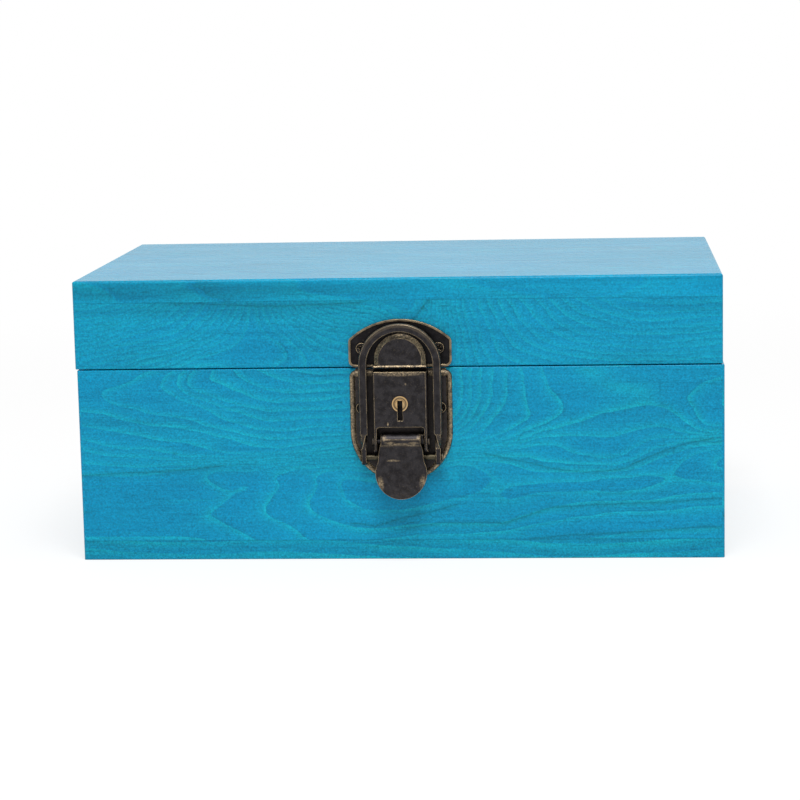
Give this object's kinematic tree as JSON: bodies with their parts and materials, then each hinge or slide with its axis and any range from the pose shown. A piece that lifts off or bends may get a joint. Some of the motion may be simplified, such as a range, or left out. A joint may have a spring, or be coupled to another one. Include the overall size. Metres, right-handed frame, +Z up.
{
  "type": "wooden chest",
  "caption": "Small lidded wooden chest with butt hinges at the back and a keyed toggle latch, bail and catch plate at the front.",
  "frame": {"origin": "centre of the chest's flat underside", "axes": "+X to the right seen from the front, +Y to the back, +Z up"},
  "size_m": [0.2506, 0.1625, 0.11],
  "materials": {
    "stained_wood": "blue stain under satin varnish",
    "antique_bronze": "dark antique bronze plating with worn edges",
    "screw_bronze": "dark antique bronze plating",
    "brass_bush": "worn brass",
    "lock_steel": "plain zinc plating"
  },
  "bodies": {
    "base": {"base_front_board": "stained_wood", "base_back_board": "stained_wood", "base_left_side": "stained_wood", "base_right_side": "stained_wood", "bottom_board": "stained_wood", "lock_plate": "antique_bronze", "lock_plate_screws": "screw_bronze", "lock_housing": "antique_bronze", "key_bush": "brass_bush", "lever_pin": "screw_bronze", "left_hinge_base_leaf": "antique_bronze", "right_hinge_base_leaf": "antique_bronze", "left_hinge_pin": "screw_bronze", "right_hinge_pin": "screw_bronze", "hinge_base_screws": "screw_bronze"},
    "lid": {"lid_top_board": "stained_wood", "lid_front_rail": "stained_wood", "lid_back_rail": "stained_wood", "lid_left_rail": "stained_wood", "lid_right_rail": "stained_wood", "catch_plate": "antique_bronze", "catch_plate_screws": "screw_bronze", "left_hinge_lid_leaf": "antique_bronze", "right_hinge_lid_leaf": "antique_bronze", "hinge_lid_screws": "screw_bronze"},
    "lever": {"lever": "antique_bronze", "bail_pin": "screw_bronze"},
    "bail": {"bail": "antique_bronze"},
    "bolt": {"lock_bolt": "lock_steel"}
  },
  "joints": [
    {"name": "lid_hinge", "type": "hinge", "parent": "base", "child": "lid", "pos_m": [0, 0.0768, 0.0754], "axis": [-1, 0, 0], "range_deg": [0, 180]},
    {"name": "lever_lift", "type": "hinge", "parent": "base", "child": "lever", "pos_m": [0.0012, -0.0796, 0.0472], "axis": [-1, 0, 0], "range_deg": [0, 125]},
    {"name": "bail_swing", "type": "hinge", "parent": "lever", "child": "bail", "pos_m": [0.0012, -0.0789, 0.0409], "axis": [-1, 0, 0], "range_deg": [-160, 0]},
    {"name": "bolt_slide", "type": "slide", "parent": "base", "child": "bolt", "axis": [0, 0, -1], "range_m": [0, 0.002]}
  ],
  "couplings": [
    {"joint": "bail_swing", "follows": "lever_lift", "ratio": -1.28}
  ]
}
